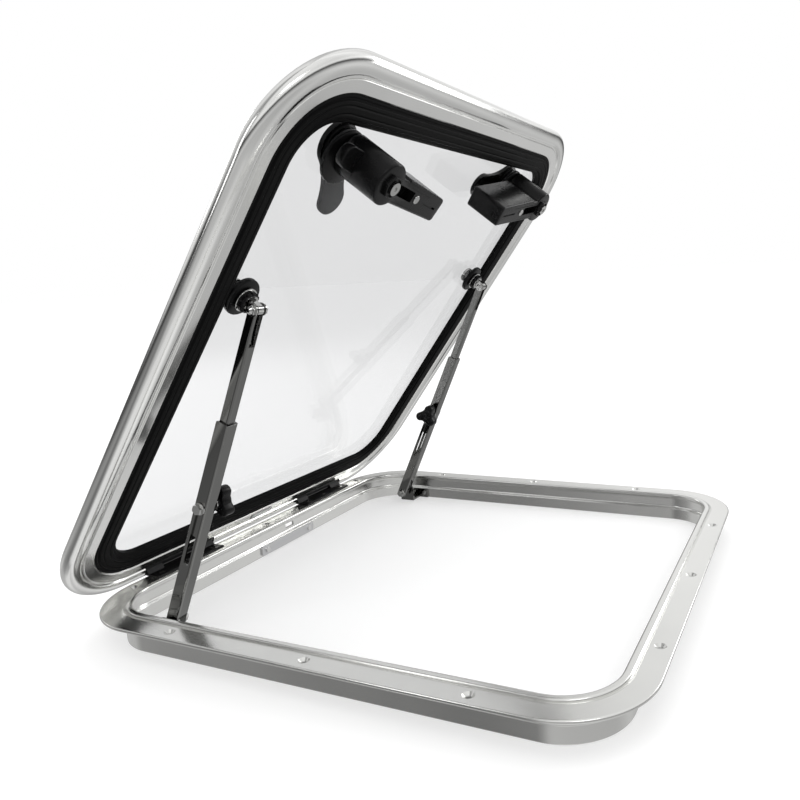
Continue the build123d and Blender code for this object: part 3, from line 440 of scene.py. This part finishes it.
hinge_coat = moulded("hinge_black_coat", 0.003, 0.007, 0.28, 0.40, 1400.0, 0.10, 0.2)
pin_steel = drawn_metal("pin_steel", (0.70, 0.70, 0.70), 0.18, 0.28, grain=(40.0, 900.0),
                        coordinate="object")
for side in ("left", "right"):
    dress(f"hinge_base_{side}", hinge_coat)
    dress(f"hinge_lid_{side}", hinge_coat)
    dress(f"hinge_pin_{side}", pin_steel)

# ---------------------------------------------------------------------------
# Stays. Folded stainless channel below, narrower stainless channel sliding in
# it above, both polished, slotted and drilled; they stand between a foot bracket
# on the base and a pivot lug screwed through the pane.
# ---------------------------------------------------------------------------
STAY_X = 207.0
FOOT_Y, FOOT_Z = 180.0, -13.0
TOP_Y, TOP_Z = -74.5, -6.2
PANE_UNDER = 13.8
CHANNEL_W, CHANNEL_D, CHANNEL_T, CHANNEL_LEN = 13.0, 12.2, 1.5, 212.0
CHANNEL_FOOT = -CHANNEL_D / 2        # the channel's round end, below its lower pivot
ARM_W, ARM_D, ARM_T, ARM_START = 9.4, 8.8, 1.3, 98.0
SLOT_START, SLOT_LEN, SLOT_HALF = 68.0, 63.0, 2.8
STUD_AT, PIN_HOLE = 128.0, 2.55      # the stud's place up the stay, and half the length of a pin's hole
CLEAR = 0.04                         # a cutting tool reaches this far past the face it takes away
EDGE = 0.02                          # the side outline stands this far outside the folded faces
top_open = opened(np.array([0.0, TOP_Y, TOP_Z]) * MM) / MM
STAY_LEN = math.hypot(top_open[1] - FOOT_Y, top_open[2] - FOOT_Z)
STAY_UP = np.array([0.0, top_open[1] - FOOT_Y, top_open[2] - FOOT_Z]) / STAY_LEN
STAY_REAR = np.array([0.0, STAY_UP[2], -STAY_UP[1]])
# The stay steel's base colour is 0.21, far darker than polished stainless: painted shade that stands in for
# the dark reflections on the stays and the foot brackets.
stay_steel_painted_shade = drawn_metal("stay_steel_painted_shade", (0.21, 0.21, 0.205), 0.03, 0.09, grain=(300.0, 300.0), depth=0.015,
                         coordinate="object")
chrome = drawn_metal("chrome", (0.55, 0.55, 0.54), 0.03, 0.09, grain=(200.0, 200.0), depth=0.01,
                     coordinate="object")
nylon = moulded("black_nylon", 0.002, 0.005, 0.22, 0.34, 1600.0, 0.08, 0.16)
knob_nylon = moulded("knob_nylon", 0.002, 0.005, 0.20, 0.32, 1500.0, 0.08, 0.18)


def on_stay(points, side):
    """Side outline and width of a stay, in millimetres: foot + p * STAY_UP + q * STAY_REAR + h * X."""
    p = np.array(points, float)
    foot = np.array([side * STAY_X, FOOT_Y, FOOT_Z])
    across = p[..., 2:3] * np.array([1.0, 0, 0])
    return (foot + p[..., :1] * STAY_UP + p[..., 1:2] * STAY_REAR + across) * MM


def layered(outline, levels):
    """Grid of a body with a level outline: ring k is the outline, counter-clockwise, moved inwards along its
    own normals by inset k, at height k."""
    ahead = np.roll(outline, -1, 0) - outline
    behind = outline - np.roll(outline, 1, 0)
    ahead /= np.linalg.norm(ahead, axis=1)[:, None] + 1e-12
    behind /= np.linalg.norm(behind, axis=1)[:, None] + 1e-12
    tangent = ahead + behind
    tangent /= np.linalg.norm(tangent, axis=1)[:, None] + 1e-12
    inward = np.stack([-tangent[:, 1], tangent[:, 0]], 1)
    rows = np.array(levels, float)
    grid = np.empty((len(rows), len(outline), 3))
    grid[:, :, :2] = outline[None] + rows[:, None, 1:2] * inward[None]
    grid[:, :, 2] = rows[:, :1]
    return grid


def eased(start, end, start_round, end_round, steps=3):
    """Heights and insets of a wall with a quarter round at each end: the inset is r * (1 - sin a) and the
    height lies r * (1 - cos a) inside the end."""
    a = np.radians(np.linspace(0, 90, steps + 1))
    first = np.stack([start + start_round * (1 - np.cos(a)), start_round * (1 - np.sin(a))], 1)
    last = np.stack([end - end_round * (1 - np.cos(a)), end_round * (1 - np.sin(a))], 1)[::-1]
    return np.concatenate([first, last])


def folded(name, side, width, depth, thick, start, end, round_start, round_end):
    """Folded channel, open to the rear: a U profile with bent corners carried up the stay, cut to its side
    outline with rounded ends; the two radii of each end are for its front and its rear corner."""
    w, d, t = width / 2, depth / 2, thick
    u_profile = rounded([(-w, d, 0.3), (-w, -d, 1.9), (w, -d, 1.9), (w, d, 0.3),
                         (w - t, d, 0.3), (w - t, t - d, 0.7), (t - w, t - d, 0.7), (t - w, d, 0.3)])
    stations = np.array([start - 1.0, end + 1.0])
    points = np.empty((2, len(u_profile), 3))
    points[:, :, 0] = stations[:, None]
    points[:, :, 1] = u_profile[None, :, 1]
    points[:, :, 2] = u_profile[None, :, 0]
    piece = skin(name, on_stay(points, side), wrap=False, caps=True)
    d += EDGE
    outline = rounded([(start, -d, round_start[0]), (end, -d, round_end[0]), (end, d, round_end[1]),
                       (start, d, round_start[1])], 8)
    keep = skin("keep", on_stay(layered(outline, [(-w - 1, 0), (w + 1, 0)]), side), wrap=False, caps=True)
    return carve(piece, [keep], "INTERSECT")


def stay_hole(side, at, length, radius, half=10.0):
    """Tool for a round-ended slot across a stay: a rounded outline drawn through from -half to half."""
    outline = rounded([(at, -radius, radius), (at + length, -radius, radius), (at + length, radius, radius),
                       (at, radius, radius)], 8)
    return skin("hole", on_stay(layered(outline, [(-half, 0), (half, 0)]), side), wrap=False, caps=True)


def stay_block(side, start, end, half, deep=8.0):
    """Tool that takes the web away between two ears: a plain block up the stay from start to end."""
    outline = rounded([(start, -deep, 0.3), (end, -deep, 0.3), (end, deep, 0.3), (start, deep, 0.3)])
    return skin("block", on_stay(layered(outline, [(-half, 0), (half, 0)]), side), wrap=False, caps=True)


def bore_tool(radius, start, end, origin, axis, across=(1, 0, 0)):
    """Tool for a round hole: a straight turned wall of the given radius, between two heights on its axis."""
    wall = np.array([(0, start), (radius, start), (radius, end), (0, end)]) * MM
    return turned("bore", wall, origin, axis, across)


def place_piece(piece, finish, node, body):
    """The finish, the CAD node that the piece stands for and the body it rides on."""
    piece.data.materials.clear()
    piece.data.materials.append(finish)
    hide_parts(node)
    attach(piece, body)


THETA = np.linspace(0, 2 * np.pi, 144, endpoint=False)


def lobed():
    """Knob outline: the farthest point along each ray of a core circle and three lobe circles, softened by a
    short running mean where they meet."""
    core, away, lobe = 8.6, 9.4, 5.6
    radius = np.full(THETA.shape, core)
    for k in range(3):
        off = THETA - k * 2 * np.pi / 3
        under = lobe ** 2 - (away * np.sin(off)) ** 2
        reach = away * np.cos(off) + np.sqrt(np.maximum(under, 0))
        radius = np.maximum(radius, np.where((under > 0) & (np.cos(off) > 0), reach, 0))
    radius = sum(np.roll(radius, shift) for shift in range(-3, 4)) / 7
    return np.stack([radius * np.cos(THETA), radius * np.sin(THETA)], 1)


for side, word in ((-1, "left"), (1, "right")):
    channel = folded(f"stay_channel_piece_{word}", side, CHANNEL_W, CHANNEL_D, CHANNEL_T, CHANNEL_FOOT,
                     CHANNEL_LEN, (6.0, 6.0), (0.5, 2.2))
    carve(channel, [stay_block(side, -12, 10, 5.0 + CLEAR),
                    stay_hole(side, SLOT_START, SLOT_LEN, SLOT_HALF),
                    stay_hole(side, -PIN_HOLE, 2 * PIN_HOLE, 2.5)])
    place_piece(channel, stay_steel_painted_shade, f"stay_channel_{word}", f"{word}_channel")

    arm = folded(f"stay_arm_piece_{word}", side, ARM_W, ARM_D, ARM_T, ARM_START, STAY_LEN + 4.4,
                 (0.5, 1.5), (4.3, 4.3))
    carve(arm, [stay_block(side, STAY_LEN - 30, STAY_LEN + 6, 3.4 + CLEAR),
                stay_hole(side, STUD_AT - PIN_HOLE, 2 * PIN_HOLE, 2.5)])
    place_piece(arm, stay_steel_painted_shade, f"stay_arm_{word}", f"{word}_arm")

    # knob: three-lobed head and collar, one moulding over the clamp nut
    face = -side * (CHANNEL_W / 2 + 1.6)
    head = layered(lobed(), eased(4.0, 15.0, 0.8, 1.8))
    head[:, :, 2] = face - side * head[:, :, 2]
    head[:, :, 0] += STUD_AT
    knob = skin(f"knob_piece_{word}", on_stay(head, side), wrap=False, caps=True)
    stud_point = on_stay((STUD_AT, 0, face), side)
    into, upright = (-side, 0, 0), (0, 0, 1)
    collar = turned("collar", np.array([(0, 0), (5.8, 0), (6.2, 0.4), (6.2, 4.6), (0, 4.6)]) * MM,
                    stud_point, into, upright)
    carve(knob, [collar], "UNION")
    dish = turned("dish", np.array([(0, 14.4), (4.6, 14.4), (5.2, 15.5), (0, 15.5)]) * MM,
                  stud_point, into, upright)
    carve(knob, [bore_tool(2.55, -1, 8.5, stud_point, into, upright), dish])
    place_piece(knob, knob_nylon, f"clamp_knob_{word}", f"{word}_knob")

    # pad, bright washer and fluted neck, one below the other under the pane
    seat = opened(np.array([side * STAY_X, TOP_Y, PANE_UNDER]) * MM)
    pad = turned(f"pad_piece_{word}", np.array([
        (3.1, 0.3), (12.8, 0.3), (13.0, 0.5), (13.0, 1.3), (15.9, 1.3), (16.2, 1.5), (16.3, 1.9), (16.3, 4.1),
        (16.1, 4.8), (15.6, 5.4), (14.8, 5.7), (8.8, 5.7), (8.3, 5.9), (8.2, 6.2), (8.2, 7.1), (8.0, 7.3),
        (3.1, 7.3)]) * MM, seat, -LID_UP, count=64)
    place_piece(pad, nylon, f"stay_pad_{word}", "lid")
    washer = turned(f"washer_piece_{word}", np.array([
        (3.1, 7.3), (10.1, 7.3), (10.4, 7.5), (10.5, 7.8), (10.5, 8.0), (10.4, 8.3), (10.1, 8.5),
        (3.1, 8.5)]) * MM, seat, -LID_UP, count=64)
    place_piece(washer, chrome, f"stay_ring_{word}", "lid")
    flute = 9.2 - 0.95 * np.clip(1 - np.abs(((THETA * 12 / (2 * np.pi)) % 1) - 0.5) * 5, 0, 1) ** 0.5
    neck_grid = layered(np.stack([flute * np.cos(THETA), flute * np.sin(THETA)], 1),
                        eased(8.5, 12.5, 0.3, 0.5))
    neck_grid = np.stack([side * STAY_X + neck_grid[..., 0], TOP_Y + neck_grid[..., 1],
                          PANE_UNDER - neck_grid[..., 2]], -1)
    neck = skin(f"neck_piece_{word}", opened(neck_grid * MM), wrap=False, caps=True)
    carve(neck, [bore_tool(3.1, 7.0, 14.0, seat, -LID_UP)])
    place_piece(neck, nylon, f"stay_neck_{word}", "lid")

    for part in ("stay_lug", "stay_pivot", "clamp_stud", "clamp_washer", "foot_bolt"):
        dress(f"{part}_{word}", chrome)
    dress(f"foot_bracket_{word}", stay_steel_painted_shade)
dress("stay_pad_screws", chrome)

# ---------------------------------------------------------------------------
# Handles. Black glass-filled nylon levers inside, each on a round base plate with
# a steel spindle through the pane; a flat teardrop grip on the outside. The
# lever's face carries a six-sided screw seat, a pocket, a screw and a groove.
# ---------------------------------------------------------------------------
HANDLE = np.array([160.0, -202.0])
LEAN = math.radians(10.3)            # the levers lean this much towards the hinge side
FACE = 44.8                          # a lever's face, from the pane's underside
SCREW_AT = 47.0                      # the small screw hole in that face, from the spindle
SPINDLE_HOLE = 5.05                  # radius of the hole for the spindle
handle_nylon = moulded("handle_nylon", 0.002, 0.005, 0.20, 0.30, 1800.0, 0.08, 0.16)
paddle_nylon = moulded("paddle_nylon", 0.003, 0.007, 0.30, 0.42, 1600.0, 0.10, 0.14)


def on_handle(points, side):
    """Handle coordinates in millimetres: spindle + u * along the lever + w * to the front edge - h * up."""
    p = np.array(points, float)
    along = np.array([-side * math.cos(LEAN), math.sin(LEAN), 0.0])
    front = np.array([-side * math.sin(LEAN), -math.cos(LEAN), 0.0])
    start = np.array([side * HANDLE[0], HANDLE[1], PANE_UNDER])
    down = p[..., 2:3] * np.array([0, 0, 1.0])
    return opened((start + p[..., :1] * along + p[..., 1:2] * front - down) * MM)


def level_piece(name, side, outline, levels):
    """Body with a level outline standing on the pane's underside, from its heights and insets."""
    return skin(name, on_handle(layered(outline, levels), side), wrap=False, caps=True)


def teardrop(turn, side):
    """Outside grip's outline about its spindle: a hub arc and a smaller tip arc joined by two hollow arcs
    that touch both; a hollow arc's centre is hub + waist from one centre and tip + waist from the other."""
    hub, tip, reach, waist = 19.0, 13.5, 52.0, 62.0
    s = ((hub + waist) ** 2 - (tip + waist) ** 2 + reach ** 2) / (2 * reach)
    w = math.sqrt((hub + waist) ** 2 - s * s)
    at_hub, at_tip = math.atan2(w, s), math.atan2(w, s - reach)

    def arc(x, y, radius, start, end, count):
        t = np.linspace(start, end, count)
        return np.stack([x + radius * np.cos(t), y + radius * np.sin(t)], 1)

    outline = np.concatenate([
        arc(0, 0, hub, at_hub, 2 * np.pi - at_hub, 40),
        arc(s, -w, waist, np.pi - at_hub, np.pi - at_tip, 14)[1:],
        arc(reach, 0, tip, -at_tip, at_tip, 28)[1:],
        arc(s, w, waist, at_tip - np.pi, at_hub - np.pi, 14)[1:-1],
    ])
    along = np.array([-side * math.cos(turn), math.sin(turn)])
    across = np.array([-along[1], along[0]])
    return outline[:, :1] * along + outline[:, 1:] * across


for side, word, grip_turn in ((-1, "left", 62.0), (1, "right", 12.0)):
    spindle = on_handle((0, 0, 0), side)
    lever = level_piece(f"lever_piece_{word}", side, rounded([
        (0.0, -12.8, 3.0), (94.0, -10.8, 3.4), (94.0, 10.8, 3.4), (24.6, 11.9, 2.0), (23.2, 9.8, 0.8),
        (0.0, 9.8, 3.0)], 5), eased(5.5, FACE, 0.8, 1.7, 4))
    hub = turned("hub", np.array([(0, 4.2), (16.7, 4.2), (17.3, 4.8), (17.3, 43.1), (17.1, 44.1),
                                  (16.4, FACE), (15.5, FACE + 0.2), (0, FACE + 0.2)]) * MM,
                 spindle, -LID_UP, count=72)
    tongue = level_piece("tongue", side, rounded([(-35.4, -9.0, 8.6), (-4.0, -9.0, 2.0), (-4.0, 9.0, 2.0),
                                                  (-35.4, 9.0, 8.6)], 8), eased(15.2, 21.8, 0.7, 0.7))
    a = np.radians(60 * np.arange(6))
    six = rounded(np.stack([9.6 * np.cos(a), 9.6 * np.sin(a), np.full(6, 0.9)], 1))
    seat_block = level_piece("seat", side, six, eased(FACE - 1.5, 48.4, 0.1, 0.6))
    carve(lever, [hub, tongue, seat_block], "UNION")
    pocket = level_piece("pocket", side, rounded([(12.0, -4.5, 1.3), (41.0, -4.5, 1.3), (41.0, 4.5, 1.3),
                                                  (12.0, 4.5, 1.3)]),
                         [(36.0, 0.3), (FACE - 0.5, 0.0), (50.0, 0.0)])
    groove = level_piece("groove", side, rounded([(60.0, -1.1, 1.05), (86.0, -1.1, 1.05), (86.0, 1.1, 1.05),
                                                  (60.0, 1.1, 1.05)]), [(FACE - 1.3, 0.2), (50.0, 0.0)])
    front_line = level_piece("line", side, rounded([(24.0, 6.0, 0.1), (66.0, 6.0, 0.1), (66.0, 6.6, 0.1),
                                                    (24.0, 6.6, 0.1)]), [(FACE - 0.6, 0.1), (50.0, 0.0)])
    rear_line = level_piece("line", side, rounded([(24.0, -9.7, 0.1), (50.0, -9.7, 0.1), (50.0, -9.2, 0.1),
                                                   (24.0, -9.2, 0.1)]), [(FACE - 0.5, 0.1), (50.0, 0.0)])
    bore = bore_tool(SPINDLE_HOLE, 3.0, 42.0, spindle, -LID_UP)
    screw_hole = bore_tool(2.05, 36.0, 46.0, on_handle((SCREW_AT, 0, 0), side), -LID_UP)
    recess = turned("recess", np.array([(5.6, 47.2), (7.3, 47.2), (7.5, 49.0), (5.6, 49.0)]) * MM,
                    spindle, -LID_UP)
    carve(lever, [pocket, groove, front_line, rear_line, bore, screw_hole, recess])
    place_piece(lever, handle_nylon, f"handle_lever_{word}", f"{word}_handle")

    low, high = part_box(f"handle_base_{word}")
    centre = (Vector(low) + Vector(high)) / 2
    base_plate = turned(f"base_plate_piece_{word}", np.array([
        (0, -1.7), (21.6, -1.7), (22.0, -1.4), (22.0, 0.7), (21.7, 1.3), (21.0, 1.7), (0, 1.7)]) * MM, centre,
        -LID_UP, count=96)
    carve(base_plate, [bore_tool(5.1, -4.0, 8.0, spindle, -LID_UP)])
    place_piece(base_plate, handle_nylon, f"handle_base_{word}", "lid")

    grip_grid = layered(teardrop(math.radians(grip_turn), side), eased(26.6, 31.2, 0.5, 1.5, 4))
    grip_grid = (grip_grid + np.array([side * HANDLE[0], HANDLE[1], 0.0])) * MM
    grip = skin(f"paddle_piece_{word}", opened(grip_grid), wrap=False, caps=True)
    carve(grip, [bore_tool(SPINDLE_HOLE, -20.0, -10.0, spindle, -LID_UP)])
    place_piece(grip, paddle_nylon, f"handle_paddle_{word}", f"{word}_handle")
    dress(f"handle_seal_{word}", rubber)
    dress(f"handle_spindle_{word}", pin_steel)
    dress(f"handle_ring_{word}", chrome)
    dress(f"handle_pin_{word}", chrome)

# ---------------------------------------------------------------------------
# Floor, room, lights and camera. A plain pale floor that gives off a little light
# of its own and is left out of reflections; the room's ramps stand in for it there.
# ---------------------------------------------------------------------------
low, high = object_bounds()
SPREAD = 30.0                        # half the floor's side
PAPER_GREY, PAPER_GLOW = 0.62, 0.43
BELOW = 0.0006                       # keeps the floor clear of the lowest piece
ground = low.z - BELOW
floor_mesh = bpy.data.meshes.new("floor")
floor_mesh.from_pydata([(-SPREAD, -SPREAD, ground), (SPREAD, -SPREAD, ground), (SPREAD, SPREAD, ground),
                        (-SPREAD, SPREAD, ground)], [], [(0, 1, 2, 3)])
floor = bpy.data.objects.new("floor", floor_mesh)
bpy.context.scene.collection.objects.link(floor)
paper, tree, shader = material("studio_paper")
shader.inputs["Base Color"].default_value = (PAPER_GREY, PAPER_GREY, PAPER_GREY, 1)
shader.inputs["Roughness"].default_value = 0.9
shader.inputs["Emission Color"].default_value = (1.0, 1.0, 1.0, 1)
shader.inputs["Emission Strength"].default_value = PAPER_GLOW
shader.inputs["Specular IOR Level"].default_value = 0.0
floor_mesh.materials.append(paper)
floor.visible_glossy = False

# The room is plain white to the camera, through the pane and for soft light. In reflections it is two
# grey ramps multiplied together: ROOM by height, from straight down to straight up, and WALLS by direction
# round it.


def greys(ramp, stops):
    """Sets a colour ramp to a list of places and greys."""
    while len(ramp.elements) < len(stops):
        ramp.elements.new(0.5)
    for element, (where, grey) in zip(ramp.elements, stops):
        element.position = where
        element.color = (grey, grey, grey, 1)


world = bpy.data.worlds.new("studio")
bpy.context.scene.world = world
world.use_nodes = True
tree = world.node_tree
backdrop = tree.nodes["Background"]
direction = wire(tree, "ShaderNodeTexCoord")
split = wire(tree, "ShaderNodeSeparateXYZ", Vector=direction.outputs["Generated"])
height = wire(tree, "ShaderNodeMapRange", {"From Min": -1.0, "From Max": 1.0}, Value=split.outputs["Z"])
room = wire(tree, "ShaderNodeValToRGB", Fac=height.outputs["Result"])
ROOM = [(0.0, 0.90), (0.06, 0.85), (0.12, 0.58), (0.27, 0.52), (0.345, 0.68), (0.40, 0.55), (0.47, 0.25),
        (0.505, 0.06), (0.55, 0.10), (0.60, 0.80), (0.66, 1.0), (0.72, 0.88), (0.79, 0.85), (1.0, 1.0)]
greys(room.color_ramp, ROOM)
turn = wire(tree, "ShaderNodeMath", {"operation": "ARCTAN2"})
tree.links.new(split.outputs["Y"], turn.inputs[0])
tree.links.new(split.outputs["X"], turn.inputs[1])
about = wire(tree, "ShaderNodeMapRange", {"From Min": -math.pi, "From Max": math.pi}, Value=turn.outputs[0])
walls = wire(tree, "ShaderNodeValToRGB", Fac=about.outputs["Result"])
WALLS = [(0.0, 1.0), (0.30, 0.9), (0.385, 1.15), (0.45, 0.95), (0.49, 0.9), (0.525, 1.1), (0.557, 0.85),
         (0.61, 0.60), (0.645, 0.75), (0.68, 0.9), (0.80, 0.9), (0.845, 0.55), (0.885, 0.45), (0.935, 0.30),
         (0.965, 0.6), (1.0, 1.0)]
greys(walls.color_ramp, WALLS)
lit = wire(tree, "ShaderNodeMix", {"data_type": "RGBA", "blend_type": "MULTIPLY"})
lit.inputs[0].default_value = 1.0
tree.links.new(room.outputs["Color"], lit.inputs[6])
tree.links.new(walls.outputs["Color"], lit.inputs[7])
path = wire(tree, "ShaderNodeLightPath")
seen = wire(tree, "ShaderNodeMath", {"operation": "MAXIMUM"})
tree.links.new(path.outputs["Is Camera Ray"], seen.inputs[0])
tree.links.new(path.outputs["Is Transmission Ray"], seen.inputs[1])
evenly = wire(tree, "ShaderNodeMath", {"operation": "MAXIMUM"})
tree.links.new(seen.outputs[0], evenly.inputs[0])
tree.links.new(path.outputs["Is Diffuse Ray"], evenly.inputs[1])
both = wire(tree, "ShaderNodeMix", {"data_type": "RGBA"})
tree.links.new(evenly.outputs[0], both.inputs[0])
tree.links.new(lit.outputs[2], both.inputs[6])
both.inputs[7].default_value = (1.0, 1.0, 1.0, 1)
tree.links.new(both.outputs[2], backdrop.inputs["Color"])
backdrop.inputs["Strength"].default_value = 1.0


def softbox(name, place, target, width, height, power, mirrored=True):
    """Rectangular area light at a place, turned towards a target."""
    data = bpy.data.lights.new(name, "AREA")
    data.energy = power
    data.shape = "RECTANGLE"
    data.size = width
    data.size_y = height
    lamp = bpy.data.objects.new(name, data)
    bpy.context.scene.collection.objects.link(lamp)
    lamp.location = place
    lamp.rotation_euler = (Vector(target) - Vector(place)).to_track_quat("-Z", "Y").to_euler()
    lamp.visible_camera = False
    lamp.visible_transmission = False
    lamp.visible_glossy = mirrored
    return lamp


softbox("overhead", (0.0, 0.0, 3.0), (0, 0, 0), 3.0, 3.0, 20, mirrored=False)
softbox("key", (-1.6, -1.6, 1.9), (0, 0, 0.1), 1.2, 0.5, 7)
softbox("strip_left", (-2.0, 0.9, 0.9), (0, 0, 0.15), 0.35, 1.6, 4)
softbox("strip_right", (1.9, -1.3, 0.8), (0, 0, 0.1), 0.5, 1.4, 8)
softbox("strip_back", (0.6, 2.4, 1.3), (0, 0, 0.15), 1.8, 0.4, 10)

camera_data = bpy.data.cameras.new("camera")
camera = bpy.data.objects.new("camera", camera_data)
bpy.context.scene.collection.objects.link(camera)
camera.matrix_world = Matrix((
    (0.416571, 0.214517, -0.883431, -0.65719),
    (-0.907552, 0.041388, -0.417895, -0.35290),
    (-0.053082, 0.975843, 0.211927, 0.28737),
    (0, 0, 0, 1),
))
camera_data.lens = 33.42
camera_data.sensor_width = 36.0
camera_data.shift_x = -0.10017
camera_data.shift_y = 0.03875
camera_data.clip_start = 0.01
bpy.context.scene.camera = camera
bpy.context.scene.view_settings.view_transform = "Standard"
